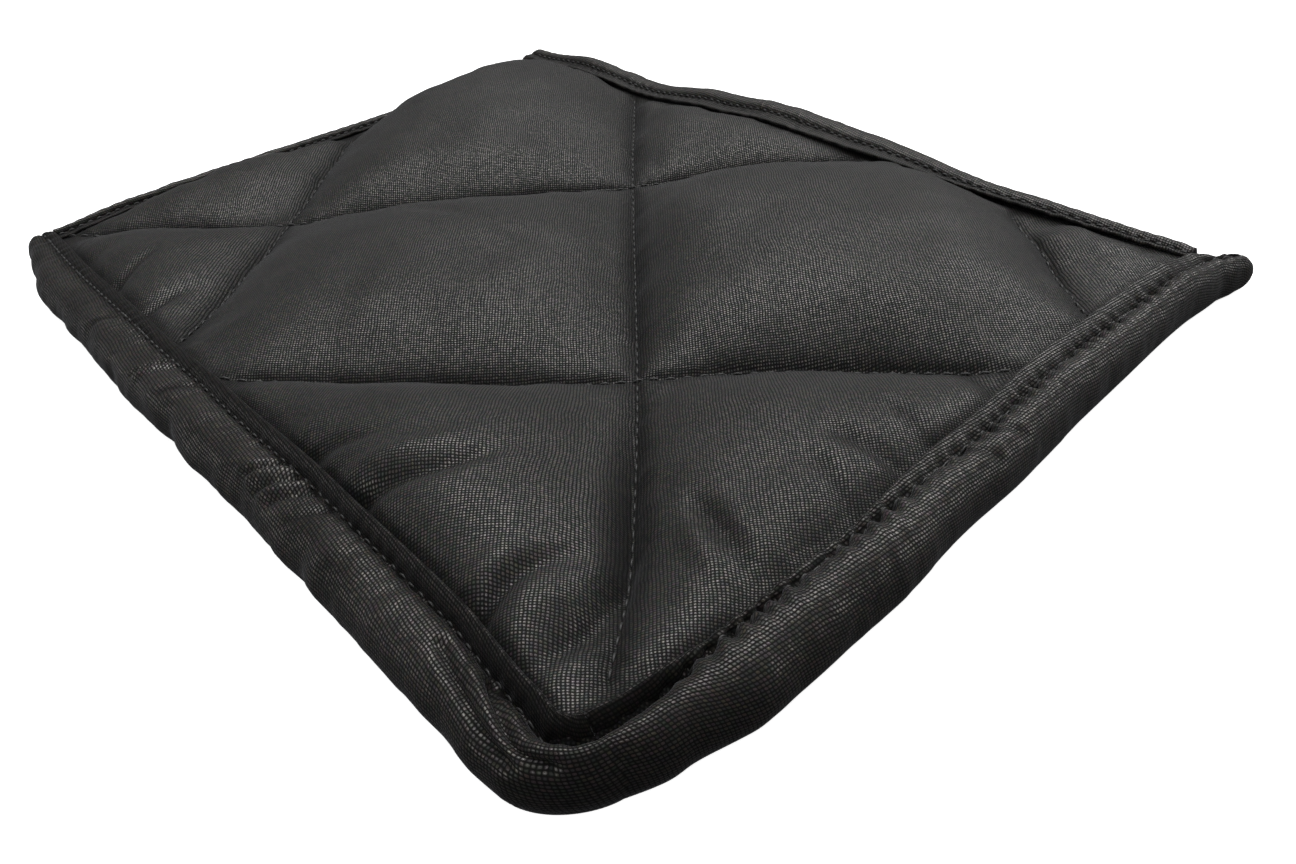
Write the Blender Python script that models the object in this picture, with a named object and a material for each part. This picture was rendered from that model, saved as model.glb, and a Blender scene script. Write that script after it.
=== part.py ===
"""Quilted sample of padded piano-cover cloth, lying flat, its edge bound with the same cloth.

Metres, +Z up. The origin is under the middle of the footprint, on the surface it lies on.
-Y is the short front edge and -X the long left edge; the corner between them is the near corner.
"""

import math
from collections import namedtuple

import bpy
import numpy as np
from mathutils import Vector
from mathutils.geometry import delaunay_2d_cdt

MM = 0.001

# Driving dimensions, in millimetres
CLOTH = 1.2          # thickness of the binding strip
GAP = 0.35           # clearance between the strip and the padded panel
HALF_X = 90.0        # stitch line of the binding to the middle, short way
HALF_Y = 124.0       # the same, long way
CORNER_R = 6.0       # radius of the stitch line at each corner
STATION = 8.0        # spacing of the binding's sections along an edge
UNDER_FLANGE = 5.0   # width of the strip's lower flange inside the stitch line
SEAM_Z = 5.0         # height of the quilting where four puffs meet
SEAM_SAG = 1.6       # depth of the quilting channels in the underside
SEAM_FLAT = 5.0      # half width of those channels
RISE = 15.0          # distance from a seam in which a puff gains most of its height
EDGE_BLEND = 26.0    # distance from the binding over which the seams climb to it
END_TAPER = 5.5      # length over which a strip's free end closes

# One row for each section of the bound edge. at: distance from the start of that edge, counted the way round
# near-left corner last: left edge runs back to front, front edge left to right, right edge front to back,
# back edge right to left. bow: stitch line drawn in from the straight. roll: width of the padded roll outside
# the stitches. top: height of the roll. stitch: height of the stitch line. flange and flange_z: width and
# height of the flat part inside the stitches.
Section = namedtuple("Section", "edge at bow roll top stitch flange flange_z")
SECTIONS = [
    Section("left", 0, -1.0, 8.0, 8.8, 7.8, 3.6, 8.6),
    Section("left", 35, -2.0, 10.5, 10.5, 9.0, 4.0, 10.2),
    Section("left", 90, -1.0, 11.5, 12.0, 10.2, 4.2, 11.6),
    Section("left", 130, 0.5, 11.5, 12.5, 10.2, 4.0, 11.8),
    Section("left", 175, 2.0, 11.5, 12.8, 10.4, 4.0, 12.0),
    Section("left", 215, 2.4, 11.5, 12.8, 10.4, 3.4, 12.0),
    Section("left", 248, 0.0, 7.8, 12.5, 10.4, 3.2, 12.0),
    Section("front", 0, -1.0, 4.8, 12.5, 10.4, 3.2, 12.0),
    Section("front", 25, -2.0, 9.5, 13.0, 10.4, 2.4, 12.0),
    Section("front", 54, -2.2, 13.2, 13.4, 10.4, 2.6, 12.0),
    Section("front", 90, -1.2, 9.8, 13.0, 10.4, 4.4, 12.0),
    Section("front", 130, 1.0, 7.8, 12.5, 10.4, 4.2, 12.0),
    Section("front", 172, 1.5, 7.0, 12.2, 10.4, 4.4, 12.2),
    Section("front", 185, 1.5, 7.4, 11.6, 10.0, 3.8, 11.6),
    Section("front", 192, 1.5, 8.6, 10.4, 9.6, 0.8, 9.9),
    Section("right", 0, -4.0, 8.0, 9.8, 8.4, 3.4, 10.6),
    Section("right", 55, -3.0, 8.5, 10.0, 8.8, 3.4, 10.8),
    Section("right", 95, -1.5, 9.5, 15.0, 10.8, 3.6, 12.8),
    Section("right", 130, -1.5, 9.5, 16.6, 11.2, 3.6, 13.2),
    Section("right", 155, -1.5, 9.5, 16.6, 11.2, 3.6, 13.0),
    Section("right", 188, -1.0, 9.5, 12.6, 9.4, 3.6, 11.0),
    Section("right", 230, -1.0, 8.5, 13.8, 10.4, 3.6, 12.0),
    Section("right", 248, -1.0, 7.0, 13.0, 10.8, 3.6, 12.0),
    Section("back", 0, -1.0, 5.5, 10.4, 9.0, 3.6, 10.6),
    Section("back", 40, -1.0, 7.0, 11.0, 9.0, 3.6, 10.6),
    Section("back", 85, -1.0, 7.0, 9.0, 7.6, 3.6, 9.0),
    Section("back", 125, 0.0, 7.0, 9.5, 7.4, 3.6, 8.8),
    Section("back", 155, 1.0, 5.5, 9.2, 7.6, 3.4, 8.8),
    Section("back", 180, 2.6, 3.2, 8.0, 7.0, 3.0, 8.0),
]

# The quilting: the points that each stitched line passes through, from one edge of the panel to another
Turn = namedtuple("Turn", "seam x y")
TURNS = [
    Turn("middle", -77, -119),
    Turn("middle", -65, -108),
    Turn("middle", -50.5, -93),
    Turn("middle", -20, -59),
    Turn("middle", 44, 17),
    Turn("middle", 88, 67),
    Turn("near", -86, 3),
    Turn("near", -20, -59),
    Turn("near", -6, -71),
    Turn("near", 12, -91),
    Turn("near", 29, -118),
    Turn("far", -86, 119),
    Turn("far", -62, 99),
    Turn("far", -36, 77),
    Turn("far", 44, 17),
    Turn("far", 88, -27),
    Turn("left", -86, 26),
    Turn("left", -36, 77),
    Turn("left", 8, 121),
    Turn("right", 56, -118),
    Turn("right", 69, -104),
    Turn("right", 79, -93),
    Turn("right", 90, -78),
]
SEAM_NAMES = ["middle", "near", "far", "left", "right"]
SEAMS = [[np.array([t.x, t.y], float) for t in TURNS if t.seam == name] for name in SEAM_NAMES]

# Height a puff gains over its seams, by the side of each seam it lies on
Puff = namedtuple("Puff", "name x y height")
PUFFS = [
    Puff("front_left", -62, -60, 15.0),
    Puff("front_right", -20, -105, 11.0),
    Puff("middle_left", -45, 10, 14.5),
    Puff("middle_right", 40, -50, 17.5),
    Puff("back_left", 15, 85, 15.5),
    Puff("back_right", 78, 20, 13.0),
    Puff("left_end", -75, 75, 14.0),
    Puff("left_back", -40, 108, 12.0),
    Puff("right_end", 84, -108, 11.0),
]


def smooth_table(positions, values, at):
    """Value at a place between the rows of a table, eased from one row to the next."""
    if at <= positions[0]:
        return values[0]
    for i in range(len(positions) - 1):
        if at <= positions[i + 1]:
            share = (at - positions[i]) / (positions[i + 1] - positions[i])
            ease = share * share * (3 - 2 * share)
            return values[i] + (values[i + 1] - values[i]) * ease
    return values[-1]


def section_at(edge, at):
    rows = [row for row in SECTIONS if row.edge == edge]
    places = [row.at for row in rows]
    return {
        name: smooth_table(places, [getattr(row, name) for row in rows], at)
        for name in ("bow", "roll", "top", "stitch", "flange", "flange_z")
    }


Frame = namedtuple("Frame", "start along out length")
EDGES = {
    "left": Frame(np.array([-HALF_X, HALF_Y]), np.array([0.0, -1.0]), np.array([-1.0, 0.0]), 2 * HALF_Y),
    "front": Frame(np.array([-HALF_X, -HALF_Y]), np.array([1.0, 0.0]), np.array([0.0, -1.0]), 2 * HALF_X),
    "right": Frame(np.array([HALF_X, -HALF_Y]), np.array([0.0, 1.0]), np.array([1.0, 0.0]), 2 * HALF_Y),
    "back": Frame(np.array([HALF_X, HALF_Y]), np.array([-1.0, 0.0]), np.array([0.0, 1.0]), 2 * HALF_X),
}
ORDER = ["left", "front", "right", "back"]
Station = namedtuple("Station", "point out size closing")


def edge_station(edge, at, closing=0.0):
    frame = EDGES[edge]
    size = section_at(edge, at)
    point = frame.start + frame.along * at - frame.out * size["bow"]
    return Station(point, frame.out, size, closing)


def blend_sizes(a, b, share):
    return {name: a[name] + (b[name] - a[name]) * share for name in a}


def straight_end(first, second):
    """Where the straight part of an edge ends, before its corner with the next."""
    return EDGES[first].length - CORNER_R - section_at(second, 0.0)["bow"]


def straight_start(first, second):
    """Where the straight part of an edge starts, after its corner with the one before."""
    return CORNER_R + section_at(first, EDGES[first].length)["bow"]


def corner_stations(first, second, steps=6):
    """Stations round a corner: the stitch line turns on a small radius.

    Where one strip runs straight over the other, the lower section holds until that strip is reached.
    """
    a, b = EDGES[first], EDGES[second]
    end = edge_station(first, straight_end(first, second))
    begin = edge_station(second, straight_start(first, second))
    centre = np.where(np.abs(a.out) > 0.5, end.point, begin.point) - CORNER_R * (a.out + b.out)
    stations = []
    for i in range(1, steps):
        angle = 0.5 * math.pi * i / steps
        out = math.cos(angle) * a.out + math.sin(angle) * b.out
        share = i / steps
        if end.size["top"] < begin.size["top"] - 0.5:
            share = share ** 3
        elif end.size["top"] > begin.size["top"] + 0.5:
            share = 1 - (1 - share) ** 3
        size = blend_sizes(end.size, begin.size, share)
        stations.append(Station(centre + CORNER_R * out, out, size, 0.0))
    return stations


def straight_stations(edge, start, end):
    count = max(2, round(abs(end - start) / STATION))
    return [edge_station(edge, start + (end - start) * i / count) for i in range(count + 1)]


def section_profile(size):
    """Outer face of the binding in its section: (outward from the stitches, height), flange to lower flange."""
    roll, top, stitch = size["roll"], size["top"], size["stitch"]
    flange, flange_z = size["flange"], size["flange_z"]
    return [
        (-flange, flange_z),
        (-0.5 * flange, 0.4 * flange_z + 0.6 * stitch),
        (0.0, stitch),
        (0.12 * roll, stitch + 0.55 * (top - stitch)),
        (0.3 * roll, top - 0.06 * top),
        (0.5 * roll, top),
        (0.72 * roll, 0.93 * top),
        (0.9 * roll, 0.74 * top),
        (1.0 * roll, 0.46 * top),
        (0.95 * roll, 0.2 * top),
        (0.8 * roll, 0.03 * top),
        (0.62 * roll, 0.0),
        (0.0, 0.0),
        (-size.get("under", UNDER_FLANGE), 0.0),
    ]


def offset_profile(profile, distance):
    """The same section line moved inwards, square to itself."""
    points = [np.array(p) for p in profile]
    moved = []
    for i, point in enumerate(points):
        before = points[max(i - 1, 0)]
        after = points[min(i + 1, len(points) - 1)]
        along = (after - before) / np.linalg.norm(after - before)
        inward = np.array([along[1], -along[0]])
        moved.append(point + inward * distance)
    return moved


def strip_section(size, closing):
    """Closed outline of the folded strip. closing: 0 round the panel, 1 folded flat at a free end."""
    outer = [np.array(p) for p in section_profile(size)]
    inner = offset_profile(outer, CLOTH)
    middle = 0.42 * size["top"]
    folded = []
    for i, point in enumerate(inner):
        side = 0.25 if i < 8 else -0.25
        flat = np.array([min(point[0], size["roll"] - 3.0), middle + side])
        folded.append(point * (1 - closing) + flat * closing)
    outer = [np.array([p[0], p[1]]) for p in outer]
    return outer + folded[::-1]


def place(station, outward, height):
    spot = station.point + station.out * outward
    return (spot[0] * MM, spot[1] * MM, height * MM)


def new_object(name, vertices, faces, material):
    mesh = bpy.data.meshes.new(name)
    mesh.from_pydata(vertices, [], faces)
    mesh.validate()
    mesh.update()
    mesh.shade_smooth()
    mesh.materials.append(material)
    thing = bpy.data.objects.new(name, mesh)
    bpy.context.scene.collection.objects.link(thing)
    return thing


def loft_strip(name, stations, material):
    """A strip from its sections in turn, with a flat cap at each end."""
    sections = [strip_section(station.size, station.closing) for station in stations]
    count = len(sections[0])
    vertices = []
    for station, section in zip(stations, sections):
        vertices += [place(station, p[0], p[1]) for p in section]
    faces = []
    for i in range(len(stations) - 1):
        for k in range(count):
            a, b = i * count + k, i * count + (k + 1) % count
            faces.append((a, b, b + count, a + count))
    half = count // 2
    for ring, flip in ((0, True), (len(stations) - 1, False)):
        base = ring * count
        for k in range(half - 1):
            quad = (base + k, base + k + 1, base + count - 2 - k, base + count - 1 - k)
            faces.append(quad[::-1] if flip else quad)
    return new_object(name, vertices, faces, material)


def free_end(edge, start, direction, steps=4):
    """Stations over which a strip's end narrows and folds flat."""
    stations = []
    for i in range(1, steps + 1):
        share = i / steps
        station = edge_station(edge, start + direction * END_TAPER * share)
        shrink = math.sqrt(max(0.0, 1 - (0.86 * share) ** 2))
        size = dict(station.size)
        size["roll"] *= shrink
        size["top"] *= 0.55 + 0.45 * shrink
        size["stitch"] = min(size["stitch"], size["top"] - 0.4)
        size["flange_z"] = min(size["flange_z"], size["top"] + 0.2)
        size["flange"] *= shrink
        size["under"] = UNDER_FLANGE * (1 - 0.8 * share)
        stations.append(Station(station.point, station.out, size, min(1.0, 1.6 * share)))
    return stations


def seam_points(seam, spacing):
    points = []
    for a, b in zip(seam[:-1], seam[1:]):
        count = max(1, round(np.linalg.norm(b - a) / spacing))
        points += [a + (b - a) * i / count for i in range(count)]
    return points + [seam[-1]]


def beside(line, offset):
    """The line moved sideways."""
    moved = []
    for i, point in enumerate(line):
        along = line[min(i + 1, len(line) - 1)] - line[max(i - 1, 0)]
        along = along / np.linalg.norm(along)
        moved.append(point + offset * np.array([-along[1], along[0]]))
    return moved


def distance_to_seam(seam, point):
    best = 1e9
    for a, b in zip(seam[:-1], seam[1:]):
        share = float(np.clip((point - a) @ (b - a) / ((b - a) @ (b - a)), 0.0, 1.0))
        best = min(best, float(np.linalg.norm(a + (b - a) * share - point)))
    return best


def side_of_seam(seam, point):
    """+1 or -1: the side of a quilting line, judged by its nearest stretch."""
    best, side = 1e9, 1
    for a, b in zip(seam[:-1], seam[1:]):
        share = (point - a) @ (b - a) / ((b - a) @ (b - a))
        near = float(np.linalg.norm(a + (b - a) * float(np.clip(share, 0.0, 1.0)) - point))
        if near < best - 1e-9:
            across = (b - a)[0] * (point - a)[1] - (b - a)[1] * (point - a)[0]
            best, side = near, 1 if across > 0 else -1
    return side


def edge_values(point):
    """Distance from the flange's inner edge and the panel's height there, for each of the four edges."""
    found = []
    for edge in ORDER:
        frame = EDGES[edge]
        at = float(np.clip((point - frame.start) @ frame.along, 0.0, frame.length))
        size = section_at(edge, at)
        inward = -float((point - frame.start) @ frame.out) - size["bow"]
        found.append((max(0.0, inward - size["flange"] - GAP), size["flange_z"] - CLOTH - GAP))
    return found


def puff_height(point):
    signs = [side_of_seam(seam, point) for seam in SEAMS]
    best, height = None, 12.0
    for puff in PUFFS:
        there = np.array([puff.x, puff.y], float)
        if [side_of_seam(seam, there) for seam in SEAMS] != signs:
            continue
        gap = float(np.linalg.norm(there - point))
        if best is None or gap < best:
            best, height = gap, puff.height
    return height


def panel_top(point):
    """Height of the quilted face: low along the seams and at the binding, puffed up between them."""
    edges = edge_values(point)
    near = [math.exp(-distance / EDGE_BLEND) for distance, _ in edges]
    edge_z = sum(w * z for w, (_, z) in zip(near, edges)) / sum(near)
    base = SEAM_Z + (edge_z - SEAM_Z) * min(1.0, max(near)) ** 1.2
    lift = 1.0
    for seam in SEAMS:
        lift *= 1 - math.exp(-distance_to_seam(seam, point) / RISE)
    for distance, _ in edges:
        lift *= 1 - math.exp(-1.5 * distance / RISE)
    return base + puff_height(point) * lift


def far_enough(point, others, least):
    return all(abs(point[0] - o[0]) > least or np.linalg.norm(point - o) > least for o in others)


def inside(point, outline, margin):
    """True where a point lies inside an outline by at least the margin."""
    hit = False
    for a, b in zip(outline, outline[1:] + outline[:1]):
        if (a[1] > point[1]) != (b[1] > point[1]):
            if point[0] < a[0] + (point[1] - a[1]) * (b[0] - a[0]) / (b[1] - a[1]):
                hit = not hit
        share = float(np.clip((point - a) @ (b - a) / max((b - a) @ (b - a), 1e-9), 0.0, 1.0))
        if np.linalg.norm(a + (b - a) * share - point) < margin:
            return False
    return hit


def fill(outline, lines, loose):
    """Triangles over an outline, with edges along the given lines and corners at the loose points."""
    points = [Vector((p[0], p[1])) for p in outline]
    ring = list(range(len(outline)))
    joins = []
    for line in lines:
        first = len(points)
        points += [Vector((p[0], p[1])) for p in line]
        joins += [(first + i, first + i + 1) for i in range(len(line) - 1)]
    points += [Vector((p[0], p[1])) for p in loose]
    found, _, faces, origins, _, _ = delaunay_2d_cdt(points, joins, [ring], 1, 1e-4)
    where = {}
    for i, sources in enumerate(origins):
        for source in sources:
            where[source] = i
    return [np.array([p[0], p[1]]) for p in found], faces, [where[i] for i in ring]


def quilt_points(outline):
    """Corners of the quilted face: seams first, then lines beside them and the open puffs."""
    lines, taken = [], [np.array(p) for p in outline]
    for seam in SEAMS:
        line = [p for p in seam_points(seam, 6.0) if inside(p, outline, 1.5)]
        lines.append(line)
        taken += line
    loose = []
    for offset, spacing, least in ((3.0, 5.0, 2.2), (7.5, 6.5, 3.4)):
        for seam in SEAMS:
            stations = seam_points(seam, spacing)
            for a, b in zip(stations[:-1], stations[1:]):
                along = (b - a) / np.linalg.norm(b - a)
                for side in (-1, 1):
                    spot = 0.5 * (a + b) + side * offset * np.array([-along[1], along[0]])
                    clear = min(distance_to_seam(s, spot) for s in SEAMS) > 0.8 * offset
                    if clear and inside(spot, outline, 2.0) and far_enough(spot, taken, least):
                        taken.append(spot)
                        loose.append(spot)
    pitch = 7.2
    row = 0
    y = -HALF_Y
    while y < HALF_Y:
        x = -HALF_X + (0.5 * pitch if row % 2 else 0.0)
        while x < HALF_X:
            spot = np.array([x, y])
            if inside(spot, outline, 3.0) and far_enough(spot, taken, 4.6):
                taken.append(spot)
                loose.append(spot)
            x += pitch
        y += pitch * 0.866
        row += 1
    return lines, loose


def build_panel(material):
    """The padded panel: quilted face, an edge that fills the binding's roll, and a flat, channelled underside."""
    stations = []
    for i, edge in enumerate(ORDER):
        before, after = ORDER[i - 1], ORDER[(i + 1) % 4]
        stations += straight_stations(edge, straight_start(before, edge), straight_end(edge, after))
        stations += corner_stations(edge, after)
    rows = []
    for station in stations:
        size = station.size
        tongue = offset_profile(section_profile(size), CLOTH + GAP)
        lip = -size["flange"] - GAP
        under = -UNDER_FLANGE - GAP
        section = [(lip, size["flange_z"] - CLOTH - GAP)]
        section += [tuple(p) for p in tongue[1:13]]
        section += [(under, CLOTH + GAP), (under, 0.0)]
        rows.append([place(station, p[0], p[1]) for p in section])
    count, depth = len(rows), len(rows[0])
    vertices = [v for row in rows for v in row]
    faces = []
    for i in range(count):
        j = (i + 1) % count
        for k in range(depth - 1):
            faces.append((i * depth + k, i * depth + k + 1, j * depth + k + 1, j * depth + k))

    def cover(level, height, lines_and_loose, upward):
        outline = [np.array(row[level][:2]) / MM for row in rows]
        lines, loose = lines_and_loose(outline)
        points, triangles, ring = fill(outline, lines, loose)
        index = {}
        for i, found in enumerate(ring):
            index[found] = i * depth + (level % depth)
        for i, point in enumerate(points):
            if i not in index:
                index[i] = len(vertices)
                vertices.append((point[0] * MM, point[1] * MM, height(point) * MM))
        for triangle in triangles:
            a, b, c = (points[i] for i in triangle)
            turns_left = (b - a)[0] * (c - a)[1] - (b - a)[1] * (c - a)[0] > 0
            face = [index[i] for i in triangle]
            faces.append(tuple(face if turns_left == upward else face[::-1]))

    def channels(outline):
        lines = []
        for seam in SEAMS:
            for side in (-1, 0, 1):
                line = beside(seam_points(seam, 15.0), side * SEAM_FLAT)
                lines.append([p for p in line if inside(p, outline, 3.0)])
        return lines, []

    def underside(point):
        return SEAM_SAG if min(distance_to_seam(seam, point) for seam in SEAMS) < 0.5 else 0.0

    cover(0, panel_top, quilt_points, True)
    cover(-1, underside, channels, False)
    return new_object("quilted_panel", vertices, faces, material)


def cloth_material(name, colour, roughness):
    material = bpy.data.materials.new(name)
    material.use_nodes = True
    shader = material.node_tree.nodes["Principled BSDF"]
    shader.inputs["Base Color"].default_value = (*colour, 1.0)
    shader.inputs["Roughness"].default_value = roughness
    shader.inputs["Metallic"].default_value = 0.0
    return material


def rest_on_origin(things):
    """Move the whole sample so that the origin lies under the middle of its footprint."""
    corners = [thing.matrix_world @ vertex.co for thing in things for vertex in thing.data.vertices]
    low = [min(corner[axis] for corner in corners) for axis in range(3)]
    high = [max(corner[axis] for corner in corners) for axis in range(3)]
    for thing in things:
        thing.location = (-0.5 * (low[0] + high[0]), -0.5 * (low[1] + high[1]), -low[2])


def main():
    for thing in list(bpy.data.objects):
        bpy.data.objects.remove(thing, do_unlink=True)

    panel_cloth = cloth_material("quilted_black_nylon", (0.018, 0.018, 0.017), 0.62)
    strip_cloth = cloth_material("binding_black_nylon", (0.015, 0.014, 0.013), 0.58)

    things = [build_panel(panel_cloth)]

    # One strip goes down the left edge, round the near corner and along the front, past both ends
    stations = free_end("left", 1.5, -1.0)[::-1]
    stations += straight_stations("left", 1.5, straight_end("left", "front"))
    stations += corner_stations("left", "front")
    stations += straight_stations("front", straight_start("left", "front"), EDGES["front"].length + 12.5)
    stations += free_end("front", EDGES["front"].length + 12.5, 1.0)
    things.append(loft_strip("binding_left_and_front", stations, strip_cloth))

    # The right-hand strip starts beside it and runs past the far corner; the back strip lies between the two
    stations = straight_stations("right", 7.2, EDGES["right"].length + 4.5)
    stations += free_end("right", EDGES["right"].length + 4.5, 1.0)
    things.append(loft_strip("binding_right", stations, strip_cloth))
    things.append(loft_strip("binding_back", straight_stations("back", 4.2, 175.4), strip_cloth))
    rest_on_origin(things)


main()
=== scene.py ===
"""Looks of the quilted piano-cover sample: fine cloth, binding, stitches, weave, camera and light."""
import math
from collections import namedtuple

import bpy
import numpy as np
from mathutils import Matrix, Vector
from mathutils.geometry import delaunay_2d_cdt


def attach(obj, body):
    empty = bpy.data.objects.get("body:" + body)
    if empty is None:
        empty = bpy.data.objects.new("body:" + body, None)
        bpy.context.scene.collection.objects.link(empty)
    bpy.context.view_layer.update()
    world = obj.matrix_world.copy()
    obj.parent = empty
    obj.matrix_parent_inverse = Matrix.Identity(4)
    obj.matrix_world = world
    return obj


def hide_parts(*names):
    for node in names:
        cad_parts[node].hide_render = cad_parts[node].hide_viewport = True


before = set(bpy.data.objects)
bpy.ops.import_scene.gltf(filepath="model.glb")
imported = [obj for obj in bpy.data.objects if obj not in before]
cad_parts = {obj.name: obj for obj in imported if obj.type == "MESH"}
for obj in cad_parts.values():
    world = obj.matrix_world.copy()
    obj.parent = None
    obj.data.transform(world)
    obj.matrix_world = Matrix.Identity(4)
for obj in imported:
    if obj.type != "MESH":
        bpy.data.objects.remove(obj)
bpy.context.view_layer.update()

MM = 0.001
SHIFT = np.array([-2.750, 2.698])   # from the frame of the tables below to the frame of the part, in mm

# Driving dimensions, in mm
HALF_X, HALF_Y = 90.0, 124.0    # from the middle to the stitch lines of the binding
CORNER_R = 6.0                  # radius of the stitch line at each corner
CORNER_DIP = 1.6                # how much narrower the roll is half-way round a corner
UNDER_FLANGE = 5.0              # width of the binding's lower flange
STRIP_CLOTH = 0.95              # thickness of the binding's cloth
END_TAPER = 5.5                 # length over which a strip's free end closes
FLANGE_GAP = 1.45               # from the top of the flange to the panel under it
SEAM_Z = 5.0                    # height of the quilting where four puffs meet
RISE = 15.0                     # distance from a seam in which a puff gains most of its height
EDGE_BLEND = 26.0               # distance from the binding over which the seams climb to it
EDGE_STEEPNESS = {"left": 1.5, "front": 1.5, "right": 1.8, "back": 2.8}  # of the puffs' rise from each edge
GROOVE = 0.5                    # depth of the groove that the quilting stitches draw
CHANNEL = 1.5                   # depth of the channels under the quilting
TUCKED_Z = 1.35                 # height of the panel's underside over the lower flange

# Spacing of the meshes' points, in mm
FACE_PITCH = 1.25
BESIDE_SEAMS = (0.7, 1.5, 2.5)
UNDERSIDE_PITCH = 4.5
STRIP_STEP = 0.72

# One row for each section of the bound edge. at: distance from the start of that edge, counted round from the
# back-left corner. bow: stitch line drawn in from the straight. roll: width of the padded roll outside the
# stitches. top: height of the roll. stitch: height of the stitch line. flange and flange_z: width and height
# of the flat part inside the stitches.
Section = namedtuple("Section", "edge at bow roll top stitch flange flange_z")
SECTIONS = [
    Section("left", 0, -1.0, 5.8, 8.4, 8.8, 2.6, 9.2),
    Section("left", 35, -2.0, 9.6, 9.6, 10.6, 2.8, 11.2),
    Section("left", 90, -1.0, 10.4, 11.0, 11.4, 3.0, 12.0),
    Section("left", 130, 0.5, 10.6, 11.8, 11.0, 2.6, 13.0),
    Section("left", 175, 2.0, 10.6, 11.8, 10.4, 2.2, 13.8),
    Section("left", 215, 2.4, 10.8, 11.8, 9.8, 2.2, 13.6),
    Section("left", 238, 1.0, 9.6, 12.0, 8.6, 2.2, 13.2),
    Section("left", 248, 0.0, 7.6, 12.5, 6.8, 2.6, 12.6),
    Section("front", 0, -1.0, 4.4, 12.5, 5.6, 3.2, 12.4),
    Section("front", 14, -1.7, 8.2, 12.7, 6.6, 1.8, 11.6),
    Section("front", 28, -2.0, 10.7, 13.0, 10.6, 1.3, 11.4),
    Section("front", 54, -2.2, 9.8, 13.4, 11.4, 1.5, 11.8),
    Section("front", 90, -1.2, 8.2, 13.0, 11.2, 3.6, 12.2),
    Section("front", 130, 1.0, 7.2, 12.5, 10.8, 4.2, 12.2),
    Section("front", 172, 1.5, 5.6, 11.6, 10.0, 4.4, 11.8),
    Section("front", 185, 0.9, 5.4, 9.8, 8.8, 3.8, 10.0),
    Section("front", 192, -1.2, 4.2, 8.8, 8.2, 0.8, 8.6),
    Section("front", 198, -3.6, 3.4, 8.0, 7.4, 0.4, 7.8),
    Section("right", 0, -7.0, 5.0, 9.8, 9.2, 1.3, 9.5),
    Section("right", 55, -5.2, 6.3, 11.2, 10.4, 1.4, 10.5),
    Section("right", 95, -2.6, 8.4, 15.8, 14.4, 2.4, 13.6),
    Section("right", 130, -2.0, 9.0, 17.8, 16.0, 2.6, 14.8),
    Section("right", 155, -2.0, 9.0, 16.2, 14.4, 2.6, 13.4),
    Section("right", 188, -2.2, 8.3, 12.6, 11.4, 2.4, 10.9),
    Section("right", 222, -2.0, 7.5, 15.2, 13.6, 2.4, 12.6),
    Section("right", 248, -1.6, 6.4, 13.2, 12.0, 2.4, 11.6),
    Section("back", 0, -2.2, 4.3, 9.2, 8.0, 2.4, 8.2),
    Section("back", 40, -2.8, 5.2, 8.8, 7.6, 2.4, 7.8),
    Section("back", 85, -3.2, 4.8, 8.2, 7.0, 2.2, 7.2),
    Section("back", 125, -2.2, 4.8, 8.8, 7.2, 2.2, 7.4),
    Section("back", 155, -0.6, 3.9, 9.2, 7.6, 2.2, 7.8),
    Section("back", 180, 2.6, 3.2, 8.6, 7.2, 2.2, 7.4),
]
SIZES = ("bow", "roll", "top", "stitch", "flange", "flange_z")

# Points that each quilted line passes through
Turn = namedtuple("Turn", "seam x y")
TURNS = [
    Turn("middle", -77, -119),
    Turn("middle", -65, -108),
    Turn("middle", -50.5, -93),
    Turn("middle", -20, -59),
    Turn("middle", 44, 17),
    Turn("middle", 88, 67),
    Turn("near", -86, 3),
    Turn("near", -20, -59),
    Turn("near", -6, -71),
    Turn("near", 12, -91),
    Turn("near", 29, -118),
    Turn("far", -86, 119),
    Turn("far", -62, 99),
    Turn("far", -36, 77),
    Turn("far", 44, 17),
    Turn("far", 88, -27),
    Turn("left", -86, 26),
    Turn("left", -36, 77),
    Turn("left", 8, 121),
    Turn("right", 56, -118),
    Turn("right", 69, -104),
    Turn("right", 79, -93),
    Turn("right", 90, -78),
]
SEAM_NAMES = ["middle", "near", "far", "left", "right"]

# How far the quilted face sinks beside the flange, by place along the edge, in mm
RECESSES = {
    "left": ([0, 118, 150, 236, 246], [0.0, 0.0, 2.2, 2.4, 0.6]),
    "right": ([8, 20, 66, 74, 84, 96, 108], [0.0, 0.5, 0.7, 0.0, 0.7, 0.7, 0.0]),
}

# A point in each puff, and how high it swells
Puff = namedtuple("Puff", "name x y height")
PUFFS = [
    Puff("front_left", -62, -60, 15.0),
    Puff("front_right", -20, -105, 11.0),
    Puff("middle_left", -45, 10, 14.5),
    Puff("middle_right", 40, -50, 17.5),
    Puff("back_left", 15, 85, 15.5),
    Puff("back_right", 78, 20, 13.0),
    Puff("left_end", -75, 75, 14.0),
    Puff("left_back", -40, 108, 12.0),
    Puff("right_end", 84, -108, 11.0),
]

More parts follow.
